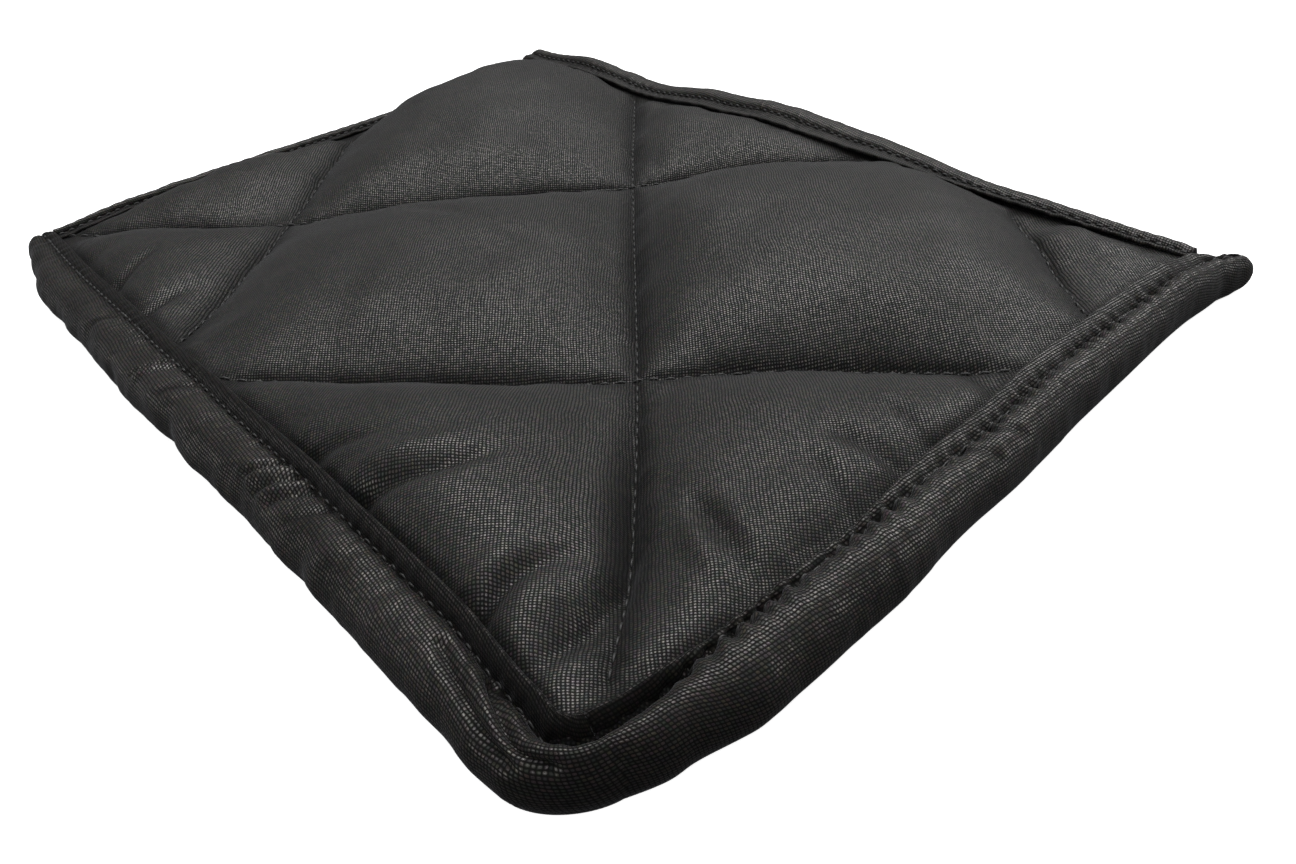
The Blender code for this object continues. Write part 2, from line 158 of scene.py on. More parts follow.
# Soft creases in the quilted face, each along a smooth line that fades out at both ends.
# depth is negative for a raised fold.
Crease = namedtuple("Crease", "depth width turns")
CREASES = [
    Crease(0.6, 3.0, [(-19, 45), (-12, 28), (-8, 8), (-3, -20)]),
    Crease(0.6, 3.0, [(39, 76), (36, 50), (32, 20)]),
    Crease(0.5, 3.0, [(35, -18), (38, -34), (44, -54)]),
    Crease(1.9, 2.0, [(-94, -57), (-83, -60), (-72, -67), (-62, -70), (-52, -69)]),
    Crease(-1.1, 2.6, [(-92, -50), (-80, -55), (-67, -62), (-56, -63)]),
    Crease(2.3, 1.9, [(-95, -98), (-84, -97), (-76, -95), (-68, -96), (-60, -98)]),
    Crease(-0.9, 2.6, [(-95, -91), (-80, -90.5), (-66, -91)]),
    Crease(-0.8, 2.3, [(-93, -104), (-78, -102.5), (-66, -101.5), (-58, -97)]),
    Crease(2.2, 2.2, [
        (-92, -112), (-80, -110), (-71, -108.5), (-61, -103.5), (-53, -97), (-45, -87), (-36, -76),
    ]),
    Crease(1.6, 2.8, [(-64, -103), (-54, -95), (-44, -84), (-33, -71), (-25, -61)]),
    Crease(1.5, 2.2, [(-41, -96), (-43, -104), (-47, -116), (-51, -128)]),
    Crease(-0.8, 2.0, [(-47, -102), (-51, -112), (-55, -126)]),
    Crease(1.4, 2.4, [(-14, -103), (-13, -113), (-11, -130)]),
    Crease(0.9, 2.0, [(3, -105), (-1, -114), (-5, -130)]),
    Crease(0.8, 2.0, [(-20, -106), (-24, -116), (-29, -130)]),
    Crease(0.8, 2.0, [(24, -108), (20, -116), (16, -130)]),
    Crease(1.1, 1.9, [(-92, -37), (-82, -42), (-75, -48), (-68, -52)]),
    Crease(-0.6, 1.8, [(-92, -43), (-83, -47), (-77, -52)]),
    Crease(1.1, 1.9, [(-93, 64), (-82, 68.5), (-68, 74)]),
    Crease(1.1, 1.9, [(-93, 42), (-82, 47), (-70, 50.5)]),
]

# Stitches and the puckers beside them, in mm
QUILT_STITCH = 3.55
EDGE_STITCH = 2.9
THREAD_R = 0.23
QUILT_ARCH = np.array([-0.25, 0.25, 0.4, 0.4, 0.25, -0.25])
EDGE_ARCH = np.array([-0.2, 0.2, 0.34, 0.34, 0.2, -0.2])
PUCKER = 3.9
PUCKER_HEIGHT = 0.6
FAR_PUCKERS = 0.4       # strength of the puckers along the two far strips
PUCKERS = ([0, 90, 130, 240, 262, 400, 440], [1.0, 0.8, 0.5, 0.5, 1.9, 1.8, 0.9])   # and along the near strip


# Helpers

LATTICE_SIZE = 256
LATTICE = np.random.default_rng(11).random((LATTICE_SIZE, LATTICE_SIZE))


def noise(x, y, seed=0):
    """Smooth value noise in -1..1, one cell to each unit."""
    x, y = np.broadcast_arrays(np.asarray(x, float), np.asarray(y, float))
    x = x + 37.0 * seed
    y = y + 91.0 * seed
    ix, iy = np.floor(x).astype(int), np.floor(y).astype(int)
    fx, fy = x - ix, y - iy
    fx, fy = fx * fx * (3 - 2 * fx), fy * fy * (3 - 2 * fy)

    def at(i, j):
        return LATTICE[i % LATTICE_SIZE, j % LATTICE_SIZE]

    low = at(ix, iy) * (1 - fx) + at(ix + 1, iy) * fx
    high = at(ix, iy + 1) * (1 - fx) + at(ix + 1, iy + 1) * fx
    return 2 * (low * (1 - fy) + high * fy) - 1


def eased(places, values, at):
    """Values given at some places and joined by smooth steps, read at other places."""
    places, values = np.asarray(places, float), np.asarray(values, float)
    at = np.clip(at, places[0], places[-1])
    i = np.clip(np.searchsorted(places, at, side="right") - 1, 0, len(places) - 2)
    share = (at - places[i]) / (places[i + 1] - places[i])
    return values[i] + (values[i + 1] - values[i]) * share * share * (3 - 2 * share)


def size_at(edge, at):
    """Sizes of the binding's section at places along an edge."""
    rows = [row for row in SECTIONS if row.edge == edge]
    places = [row.at for row in rows]
    return {name: eased(places, [getattr(row, name) for row in rows], at) for name in SIZES}


Frame = namedtuple("Frame", "start along out length")
EDGES = {
    "left": Frame(np.array([-HALF_X, HALF_Y]), np.array([0.0, -1.0]), np.array([-1.0, 0.0]), 2 * HALF_Y),
    "front": Frame(np.array([-HALF_X, -HALF_Y]), np.array([1.0, 0.0]), np.array([0.0, -1.0]), 2 * HALF_X),
    "right": Frame(np.array([HALF_X, -HALF_Y]), np.array([0.0, 1.0]), np.array([1.0, 0.0]), 2 * HALF_Y),
    "back": Frame(np.array([HALF_X, HALF_Y]), np.array([-1.0, 0.0]), np.array([0.0, 1.0]), 2 * HALF_X),
}
ORDER = ["left", "front", "right", "back"]


def run(point, out, size, at, closing=None):
    """A stretch of binding: stitch-line points, outward directions and section sizes, one entry a station."""
    n = len(point)
    size = {name: np.broadcast_to(np.asarray(value, float), (n,)).copy() for name, value in size.items()}
    size.setdefault("under", np.full(n, UNDER_FLANGE))
    size.setdefault("lift", np.zeros(n))
    closing = np.zeros(n) if closing is None else closing
    return {"point": point, "out": out, "size": size, "closing": closing, "at": at}


def join_runs(runs):
    """Several stretches of binding as one."""
    return {
        "point": np.concatenate([r["point"] for r in runs]),
        "out": np.concatenate([r["out"] for r in runs]),
        "size": {k: np.concatenate([r["size"][k] for r in runs]) for k in runs[0]["size"]},
        "closing": np.concatenate([r["closing"] for r in runs]),
        "at": np.concatenate([r["at"] for r in runs]),
    }


def edge_run(edge, at, closing=None):
    """The stretch of binding at the given places along one edge."""
    spot = EDGES[edge]
    size = size_at(edge, at)
    point = spot.start + at[:, None] * spot.along - size["bow"][:, None] * spot.out
    passed = EDGES["left"].length if edge == "front" else 0.0
    return run(point, np.broadcast_to(spot.out, point.shape).copy(), size, passed + at, closing)


def straight(edge, start, end, step):
    return edge_run(edge, np.linspace(start, end, max(2, round(abs(end - start) / step) + 1)))


def straight_end(first, second):
    """Where an edge's straight part ends before the corner to the next."""
    return EDGES[first].length - CORNER_R - float(size_at(second, 0.0)["bow"])


def straight_start(first):
    """Where an edge's straight part begins after the corner from the one before."""
    return CORNER_R + float(size_at(first, EDGES[first].length)["bow"])


def corner(first, second, step):
    """The binding's way round the corner between two edges."""
    a, b = EDGES[first], EDGES[second]
    end = edge_run(first, np.array([straight_end(first, second)]))
    begin = edge_run(second, np.array([straight_start(first)]))
    centre = np.where(np.abs(a.out) > 0.5, end["point"][0], begin["point"][0]) - CORNER_R * (a.out + b.out)
    count = max(6, round(0.5 * math.pi * (CORNER_R + 5) / step))
    share = np.arange(1, count) / count
    at = end["at"][0] + (begin["at"][0] - end["at"][0]) * share
    angle = 0.5 * math.pi * share
    out = np.cos(angle)[:, None] * a.out + np.sin(angle)[:, None] * b.out
    if end["size"]["top"][0] < begin["size"]["top"][0] - 0.5:
        share = share ** 3
    elif end["size"]["top"][0] > begin["size"]["top"][0] + 0.5:
        share = 1 - (1 - share) ** 3
    size = {k: end["size"][k][0] + (begin["size"][k][0] - end["size"][k][0]) * share for k in end["size"]}
    size["roll"] = size["roll"] - CORNER_DIP * np.sin(2 * angle)
    return run(centre + CORNER_R * out, out, size, at)


def free_end(edge, start, direction, step, length=END_TAPER, slim=0.3):
    """The end of a strip, which rounds off and closes. slim: how far the roll keeps its width."""
    share = np.linspace(0, 1, round(length / step) + 4)[1:]
    share = np.sin(0.5 * math.pi * share)
    made = edge_run(edge, start + direction * length * share)
    size = made["size"]
    shrink = np.sqrt(np.maximum(0.0, 1 - (0.985 * share) ** 2))
    size["roll"] *= slim + (1 - slim) * shrink
    size["lift"] = 0.42 * size["top"] * (1 - shrink)
    size["top"] *= 0.62 + 0.38 * shrink
    size["stitch"] = np.minimum(size["stitch"], size["top"] - 0.5)
    size["flange_z"] = np.minimum(size["flange_z"], size["top"] + 0.1)
    size["flange"] *= 0.2 + 0.8 * shrink
    size["under"] = UNDER_FLANGE * (1 - 0.9 * share)
    made["closing"] = np.minimum(1.0, 1.6 * share)
    return made


def backwards(r):
    """The same stretch of binding, told from its other end."""
    return {
        "point": r["point"][::-1],
        "out": r["out"][::-1],
        "size": {k: v[::-1] for k, v in r["size"].items()},
        "closing": r["closing"][::-1],
        "at": r["at"][::-1],
    }


def profile(size):
    """Outer face of the binding in its section, from the flange's edge over the roll to the lower flange."""
    roll, top, stitch = size["roll"], size["top"], size["stitch"]
    flange, flange_z = size["flange"], size["flange_z"]
    zero = np.zeros_like(roll)
    lift = size["lift"]
    rise = top - stitch

    def low(share):
        return lift + share * (top - lift)

    rows = [
        (-flange, flange_z),
        (-0.55 * flange, 0.72 * flange_z + 0.28 * stitch),
        (zero, stitch),
        (0.05 * roll, stitch + 0.34 * rise),
        (0.21 * roll, stitch + 0.84 * rise),
        (0.44 * roll, top),
        (0.70 * roll, low(0.93)),
        (0.9 * roll, low(0.74)),
        (1.0 * roll, low(0.46)),
        (0.95 * roll, low(0.2)),
        (0.8 * roll, low(0.03)),
        (0.62 * roll, lift),
        (zero, lift),
        (-size["under"], lift),
    ]
    return np.stack([np.stack(row, axis=-1) for row in rows], axis=1)


def spline_weights(count, samples):
    """Weights that turn `count` control points into a smooth line through them."""
    places, rows = [], []
    for i, n in enumerate(samples):
        places += [i + k / n for k in range(n)]
    places.append(count - 1.0)
    for place in places:
        i = min(int(place), count - 2)
        t = place - i
        row = np.zeros(count)
        knots = (i - 1, i, i + 1, i + 2)
        cubic = (
            0.5 * (-t ** 3 + 2 * t ** 2 - t),
            0.5 * (3 * t ** 3 - 5 * t ** 2 + 2),
            0.5 * (-3 * t ** 3 + 4 * t ** 2 + t),
            0.5 * (t ** 3 - t ** 2),
        )
        for knot, weight in zip(knots, cubic):
            row[min(max(knot, 0), count - 1)] += weight
        rows.append(row)
    return np.array(rows)


def smooth_line(points, per):
    """A smooth line through the points, with `per` steps from each to the next."""
    points = np.asarray(points, float)
    return spline_weights(len(points), [per] * (len(points) - 1)) @ points


def along_line(line):
    """Distance along a line at each of its points."""
    steps = np.linalg.norm(np.diff(line, axis=0), axis=1)
    return np.concatenate([[0.0], np.cumsum(steps)])


def resample(line, spacing, start=0.0):
    """Evenly spaced points of a line, and how far along it they are."""
    s = along_line(line)
    at = np.arange(start, s[-1], spacing)
    return np.stack([np.interp(at, s, line[:, k]) for k in range(line.shape[1])], axis=1), at


def to_line(points, line):
    """Distance from each point to a line, the side that it lies on, and how far along the line it is."""
    best = np.full(len(points), 1e9)
    side = np.ones(len(points))
    along = np.zeros(len(points))
    for a, b, passed in zip(line[:-1], line[1:], along_line(line)):
        ab = b - a
        rel = points - a
        share = np.clip((rel @ ab) / max(ab @ ab, 1e-12), 0.0, 1.0)
        gap = np.hypot(*(rel - share[:, None] * ab).T)
        near = gap < best - 1e-9
        best = np.where(near, gap, best)
        cross = ab[0] * rel[:, 1] - ab[1] * rel[:, 0]
        side = np.where(near, np.where(cross > 0, 1.0, -1.0), side)
        along = np.where(near, passed + share * math.hypot(*ab), along)
    return best, side, along


SEAMS = {name: smooth_line([(t.x, t.y) for t in TURNS if t.seam == name], 8) for name in SEAM_NAMES}


# The quilted face

def edge_band(points):
    """For each edge: place along it, distance inward from the flange, and the panel's height there."""
    found = []
    for edge in ORDER:
        spot = EDGES[edge]
        at = np.clip((points - spot.start) @ spot.along, 0.0, spot.length)
        size = size_at(edge, at)
        inward = -((points - spot.start) @ spot.out) - size["bow"]
        share = np.clip(inward / size["flange"], 0.0, 1.0)
        z = size["stitch"] + (size["flange_z"] - size["stitch"]) * share - FLANGE_GAP
        found.append((at, np.maximum(0.0, inward - size["flange"] - 0.2), z))
    return found


def gathers(points, bands):
    """Small folds that the stitches draw in the cloth, beside the seams and along the binding."""
    total = np.zeros(len(points))
    at_edge = np.clip(np.min([gap for _, gap, _ in bands], axis=0) / 2.0, 0.0, 1.0)
    for i, name in enumerate(SEAM_NAMES):
        gap, side, along = to_line(points, SEAMS[name])
        reach = np.exp(-gap / 5.0) * (1 - np.exp(-gap / 1.0)) * at_edge
        folds = noise(along / 5.2 + 0.6 * side, gap / 30.0 + side, 40 + i)
        total += reach * (0.55 * folds + 0.2 * noise(along / 2.4, gap / 12.0 + side, 50 + i))
    for i, (edge, (at, gap, _)) in enumerate(zip(ORDER, bands)):
        reach = np.exp(-gap / 8.0) * (1 - np.exp(-gap / 1.2)) * np.clip(gap / 2.0, 0.0, 1.0)
        folds = noise(at / 7.5, gap / 40.0, 60 + i)
        folds = folds - 0.5 * np.abs(noise(at / 4.1, gap / 30.0, 70 + i))
        total += 1.25 * reach * folds
        if edge in RECESSES:
            total -= eased(*RECESSES[edge], at) * np.exp(-gap / 3.2)
    return total


def puff_heights(points, sides):
    """How high each point's puff swells. sides: which side of each seam a point lies on, a column a seam."""
    height = np.full(len(points), 12.0)
    best = np.full(len(points), 1e9)
    for puff in PUFFS:
        middle = np.array([[puff.x, puff.y]], float)
        own = np.array([to_line(middle, SEAMS[name])[1][0] for name in SEAM_NAMES])
        gap = np.hypot(*(points - middle[0]).T)
        take = (sides == own).all(axis=1) & (gap < best)
        best = np.where(take, gap, best)
        height = np.where(take, puff.height, height)
    return height


def face_height(points):
    """Height of the quilted face, in mm: low along the seams and at the binding, puffed up between them.

    Also returns how near each point is to a seam or crease, and to the binding; the material paints shade where
    these are small."""
    bands = edge_band(points)
    weights = [np.exp(-gap / EDGE_BLEND) for _, gap, _ in bands]
    edge_z = sum(w * z for w, (_, _, z) in zip(weights, bands)) / sum(weights)
    nearest = np.minimum(1.0, np.max(weights, axis=0))
    base = SEAM_Z + (edge_z - SEAM_Z) * nearest ** 1.2
    gaps, sides, _ = zip(*(to_line(points, SEAMS[name]) for name in SEAM_NAMES))
    lift = np.prod([1 - np.exp(-gap / RISE) for gap in gaps], axis=0)
    for edge, (_, gap, _) in zip(ORDER, bands):
        lift = lift * (1 - np.exp(-EDGE_STEEPNESS[edge] * gap / RISE))
    z = base + puff_heights(points, np.array(sides).T) * lift + gathers(points, bands)
    seam = np.min(gaps, axis=0)
    edge = np.min([gap for _, gap, _ in bands], axis=0)

    # The gentle unevenness of the padding, the creases, and the groove under the stitches
    x, y = points.T
    open_cloth = np.clip(edge / 6.0, 0.0, 1.0)
    z = z + open_cloth * (0.55 * noise(x / 15.0, y / 15.0, 3) + 0.2 * noise(x / 7.0, y / 7.0, 4))
    # dent is the nearness to a seam or a deep crease, by which the material paints shade in them.
    dent = seam
    for crease in CREASES:
        line = smooth_line(crease.turns, 4)
        gap, _, along = to_line(points, line)
        fade = eased([0.0, 0.25, 0.5, 1.0], [0.0, 1.0, 1.0, 0.0], along / along_line(line)[-1])
        z = z - crease.depth * fade * np.exp(-(gap / crease.width) ** 2)
        if crease.depth > 0.7:
            dent = np.minimum(dent, 1.6 + 2.4 * gap / crease.width + 4.0 * (1 - fade))
    z = z - GROOVE * np.exp(-(seam / 1.0) ** 2) * open_cloth
    return z, dent, edge


def inside(points, outline, margin=0.0):
    """Which points lie within a closed outline, and further than the margin from it."""
    hit = np.zeros(len(points), bool)
    x, y = points.T
    a, b = outline, np.roll(outline, -1, axis=0)
    for p, q in zip(a, b):
        crosses = (p[1] > y) != (q[1] > y)
        if crosses.any():
            hit ^= crosses & (x < p[0] + (y - p[1]) * (q[0] - p[0]) / (q[1] - p[1] + 1e-30))
    if margin:
        gap = to_line(points, np.vstack([outline, outline[:1]]))[0]
        hit &= gap > margin
    return hit


def hexes(pitch):
    """Points in an even triangular pattern that covers the panel."""
    ys = np.arange(-HALF_Y - 6, HALF_Y + 6, pitch * 0.866)
    rows = []
    for i, y in enumerate(ys):
        xs = np.arange(-HALF_X - 6 + (0.5 * pitch if i % 2 else 0.0), HALF_X + 6, pitch)
        rows.append(np.stack([xs, np.full(len(xs), y)], axis=1))
    return np.concatenate(rows)


def triangulate(outline, lines, loose):
    """A mesh within an outline, with edges along the lines, and the numbers of the outline's points in it."""
    points = [Vector(p) for p in outline]
    joins = []
    for line in lines:
        first = len(points)
        points += [Vector(p) for p in line]
        joins += [(first + i, first + i + 1) for i in range(len(line) - 1)]
    points += [Vector(p) for p in loose]
    ring = [list(range(len(outline)))]
    found, _, faces, origins, _, _ = delaunay_2d_cdt(points, joins, ring, 1, 1e-4)
    where = {source: i for i, sources in enumerate(origins) for source in sources}
    points = np.array([(p[0], p[1]) for p in found])
    faces = np.array(faces)
    a, b, c = (points[faces[:, k]] for k in range(3))
    turn = (b - a)[:, 0] * (c - a)[:, 1] - (b - a)[:, 1] * (c - a)[:, 0]
    faces[turn < 0] = faces[turn < 0][:, ::-1]
    return points, faces, [where[i] for i in range(len(outline))]


def face_grid(outline, pitch, offsets):
    """Points of the quilted face: along and beside the seams, then evenly between them."""
    lines = []
    for name in SEAM_NAMES:
        line, _ = resample(SEAMS[name], 1.0)
        lines.append(line[inside(line, outline, 0.8)])
    rows = []
    for offset in offsets:
        for name in SEAM_NAMES:
            line, _ = resample(SEAMS[name], 1.0, 0.5)
            along = np.gradient(line, axis=0)
            along /= np.linalg.norm(along, axis=1)[:, None]
            for side in (-1, 1):
                spot = line + side * offset * np.stack([-along[:, 1], along[:, 0]], axis=1)
                clear = np.min([to_line(spot, SEAMS[s])[0] for s in SEAM_NAMES], axis=0) > 0.93 * offset
                rows.append(spot[clear])
    loose = hexes(pitch)
    gap = np.min([to_line(loose, SEAMS[s])[0] for s in SEAM_NAMES], axis=0)
    rows.append(loose[gap > offsets[-1] + 0.7 * pitch])
    loose = np.concatenate(rows)
    return lines, loose[inside(loose, outline, 0.6 * pitch)]


def new_object(name, vertices, faces, material):
    """A smooth mesh object with one material."""
    mesh = bpy.data.meshes.new(name)
    mesh.from_pydata([tuple(v) for v in vertices], [], [tuple(int(i) for i in f) for f in faces])
    mesh.validate()
    mesh.update()
    mesh.shade_smooth()
    mesh.materials.append(material)
    thing = bpy.data.objects.new(name, mesh)
    bpy.context.scene.collection.objects.link(thing)
    return thing


def world_points(xy, z):
    """Points in the frame of the part, in metres."""
    return np.column_stack([(xy + SHIFT) * MM, np.asarray(z) * MM])


def set_attribute(thing, name, values):
    """A vector for each vertex, which the materials read."""
    attribute = thing.data.attributes.new(name, "FLOAT_VECTOR", "POINT")
    attribute.data.foreach_set("vector", np.asarray(values, np.float32).ravel())


def panel_outline():
    """The panel's edge, just outside the stitches of the binding."""
    runs = []
    for i, edge in enumerate(ORDER):
        before, after = ORDER[i - 1], ORDER[(i + 1) % 4]
        runs.append(straight(edge, straight_start(before), straight_end(edge, after), 1.2))
        runs.append(corner(edge, after, 1.4))
    ring = join_runs(runs)
    outline = ring["point"] + 0.8 * ring["out"]
    return outline[np.linalg.norm(outline - np.roll(outline, 1, axis=0), axis=1) > 0.2]


def panel_underside(outline):
    """Flat where it rests, a little higher under the binding, with shallow channels under the quilting."""
    lines = []
    for name in SEAM_NAMES:
        line, _ = resample(SEAMS[name], 4.0)
        lines.append(line[inside(line, outline, 7.0)])
    spots = hexes(UNDERSIDE_PITCH)
    clear = np.min([to_line(spots, SEAMS[s])[0] for s in SEAM_NAMES], axis=0) > 3.0
    spots = spots[clear & inside(spots, outline, 2.0)]
    points, faces, edge_ids = triangulate(outline, lines, spots)
    seam = np.min([to_line(points, SEAMS[s])[0] for s in SEAM_NAMES], axis=0)
    edge = to_line(points, np.vstack([outline, outline[:1]]))[0]
    z = CHANNEL * np.exp(-(seam / 5.0) ** 2) * (edge > 7.0)
    z = np.where(edge < UNDER_FLANGE + 1.2, TUCKED_Z, z)
    # The underside's marks for the material's painted shade: nearness to a seam, to the edge, and height.
    return points, faces, edge_ids, z, np.column_stack([seam, edge, z])


def build_panel(material):
    """The quilted cloth, one closed mesh. Its attributes hold the place in the cloth and the marks by which its
    material paints shade.
    """
    outline = panel_outline()
    lines, loose = face_grid(outline, FACE_PITCH, BESIDE_SEAMS)
    top, faces, edge_ids = triangulate(outline, lines, loose)
    height, dent, edge = face_height(top)
    below, low_faces, low_ids, low_z, low_shade_marks = panel_underside(outline)
    first = len(top)
    vertices = np.vstack([world_points(top, height), world_points(below, low_z)])
    all_faces = [tuple(f) for f in faces]
    all_faces += [tuple(first + i for i in f[::-1]) for f in low_faces]
    n = len(edge_ids)
    for i in range(n):
        j = (i + 1) % n
        all_faces.append((edge_ids[j], edge_ids[i], first + low_ids[i], first + low_ids[j]))
    thing = new_object("quilted_cloth", vertices, all_faces, material)
    xy = np.vstack([top, below])
    set_attribute(thing, "cloth", np.column_stack([xy, np.zeros(len(xy))]))
    set_attribute(thing, "shade_marks", np.vstack([np.column_stack([dent, edge, height]), low_shade_marks]))
    return thing


# The binding

SAMPLES = [3, 3, 3, 3, 3, 4, 3, 3, 3, 3, 2, 2, 1]   # steps between the points of the section
STITCHED = SAMPLES[0] + SAMPLES[1]                  # the step at the stitch line
SEEDS = {"left_and_front": 5, "right": 6, "back": 7}

# Folds in the binding. at runs along the strip, counted as in the sections, and w across it from the stitches
# outwards, both in mm. depth is negative for a raised fold.
Fold = namedtuple("Fold", "strip at0 w0 at1 w1 depth width")
FOLDS = [
    Fold("left_and_front", 221, 4.2, 243, 10.0, 1.7, 1.2),
    Fold("left_and_front", 232, 1.6, 247, 9.0, 1.8, 1.1),
    Fold("left_and_front", 228, 3.2, 244, 9.0, -0.5, 0.9),
    Fold("left_and_front", 157, 7.5, 161, 0.8, 1.3, 0.8),
    Fold("left_and_front", 160, 8.0, 164, 0.8, -1.0, 0.9),
    Fold("left_and_front", 163, 8.5, 167, 0.8, 1.2, 0.8),
    Fold("left_and_front", 166, 8.5, 170, 1.0, -0.8, 0.9),
    Fold("left_and_front", 169, 8.5, 173, 1.0, 1.1, 0.8),
    Fold("left_and_front", 176, 9.0, 180, 1.2, 0.5, 1.2),
    Fold("left_and_front", 103, 8.0, 106, 1.0, 1.2, 0.8),
    Fold("left_and_front", 106, 8.0, 109, 1.0, -0.8, 0.9),
    Fold("left_and_front", 118, 7.0, 121, 1.0, 0.5, 1.3),
    Fold("left_and_front", 72, 8.0, 74, 1.0, 0.5, 1.4),
    Fold("left_and_front", 340, 7.0, 337, 1.0, 0.5, 1.3),
    Fold("left_and_front", 349, 7.0, 345, 1.0, 0.4, 1.2),
]


def pucker_relief(strip, r, s, w):
    """Puckers at the stitches and the groove that the thread draws, outward in mm."""
    seed = SEEDS[strip]
    phase = 2 * math.pi * s / PUCKER + 2.2 * noise(s / 9.0, 0 * s, seed)
    strength = (0.75 + 0.6 * noise(s / 6.0, 0 * s + 3.0, seed))[:, None]
    if strip == "left_and_front":
        strength = strength * eased(*PUCKERS, r["at"])[:, None]
    else:
        strength = FAR_PUCKERS * strength
    outside, flange = np.clip(w, 0, None), np.clip(-w, 0, None)
    reach = np.where(w > 0, np.exp(-outside / 2.6) * (1 - np.exp(-outside / 0.5)), np.exp(-flange / 1.6))
    bump = PUCKER_HEIGHT * strength * np.cos(phase[:, None] + 0.5 * w) * reach
    return bump - 0.35 * np.exp(-(w / 0.7) ** 2) * (0.6 + 0.4 * np.cos(phase)[:, None])


def roll_relief(strip, r, s, w, z):
    """Wrinkles of the roll and flange, outward in mm, and how near each point is to a hollow, fold or stitch, by
    which the material paints shade there.
    """
    seed, ss = SEEDS[strip], s[:, None]
    on_roll = 1 - np.exp(-np.clip(w, 0, None) / 4.0)
    crumple = on_roll * np.clip(z / 6.0, 0.0, 1.0)
    slack = crumple
    # dent: nearness to the stitch line; the material paints shade where it is small.
    dent = np.abs(w)
    bump = 0.35 * noise(ss / 34.0, w / 9.0, seed + 30) * on_roll
    bump += 0.15 * noise(ss / 5.0, w / 9.0, seed + 40) * (w < 0)
    if strip == "left_and_front":
        crumple = crumple * eased([0, 60, 190, 225], [1.2, 1.7, 1.7, 1.0], r["at"])[:, None]
        # The left roll is slack: hollows and rises between its folds
        slack = slack * eased([0, 12, 190, 225], [0.0, 1.0, 1.0, 0.0], r["at"])[:, None]
        hollows = noise(ss / 8.0, w / 4.5, seed + 50)
        bump += 0.5 * slack * hollows
        # Painted shade in the cramped pocket behind the near corner, then in the hollows, then on the roll at
        # that corner
        dent = dent * eased([0, 234, 246, 268, 300], [1.0, 1.0, 0.3, 0.3, 1.0], r["at"])[:, None]
        dent = np.minimum(dent, 1.6 - 1.1 * slack * np.clip(0.3 - hollows, 0.0, 1.0))
        dent = np.minimum(dent, eased([215, 234, 262, 285], [1.6, 0.75, 0.75, 1.6], r["at"])[:, None])
    bump += 0.34 * crumple * noise(ss / 6.5, w / 14.0, seed + 10)
    bump += 0.12 * crumple * noise(ss / 2.6, w / 9.0, seed + 20)
    spots = np.stack([np.broadcast_to(r["at"][:, None], w.shape).ravel(), w.ravel()], axis=1)
    for f in FOLDS:
        if f.strip == strip:
            line = np.array([[f.at0, f.w0], [f.at1, f.w1]], float)
            gap = to_line(spots, line)[0].reshape(w.shape)
            bump -= f.depth * np.exp(-(gap / f.width) ** 2)
            if f.depth > 0:
                # Painted shade along each fold
                dent = np.minimum(dent, 1.2 * gap / f.width)
    return bump, dent


def strip_surface(strip, r):
    """Outer face of a strip in its section plane, with its puckers and wrinkles.

    Also returns its normals, the place in the cloth along and across the strip, and the marks by which the
    material paints shade on it."""
    weights = spline_weights(len(SAMPLES) + 1, SAMPLES)
    outer = np.einsum("mk,nkc->nmc", weights, profile(r["size"]))
    s = along_line(r["point"] + 0.5 * r["size"]["roll"][:, None] * r["out"])
    steps = np.linalg.norm(np.diff(outer, axis=1), axis=2)
    w = np.concatenate([np.zeros((len(s), 1)), np.cumsum(steps, axis=1)], axis=1)
    w = w - w[:, STITCHED:STITCHED + 1]
    tangent = np.gradient(outer, axis=1)
    tangent /= np.maximum(np.linalg.norm(tangent, axis=2), 1e-9)[..., None]
    normal = np.stack([-tangent[..., 1], tangent[..., 0]], axis=-1)
    bump, dent = roll_relief(strip, r, s, w, outer[..., 1])
    bump += pucker_relief(strip, r, s, w)
    bump *= np.where(outer[..., 1] < 0.4, 0.0, 1.0)
    outer = outer + normal * bump[..., None]
    outer[..., 1] = np.maximum(outer[..., 1], 0.0)
    # Painted shade on the flange inside the stitches: darkest (0) along the left and round the near corner, 0.45
    # along the front, 0.3 on the right and back strips; the roll outside the stitches is left at 1, unshaded.
    unshaded = 0.3
    if strip == "left_and_front":
        unshaded = eased([0, 250, 285, 440], [0.0, 0.0, 0.45, 0.45], r["at"])[:, None]
    unshaded = np.where(w < 0, unshaded, 1.0)
    return outer, normal, s, w, dent, unshaded


def all_round(rows, fold):
    """Values for a strip's whole section: its fold, its outer face and its inner face."""
    return np.concatenate([np.repeat(fold, 3, axis=1), rows, rows[:, ::-1]], axis=1)


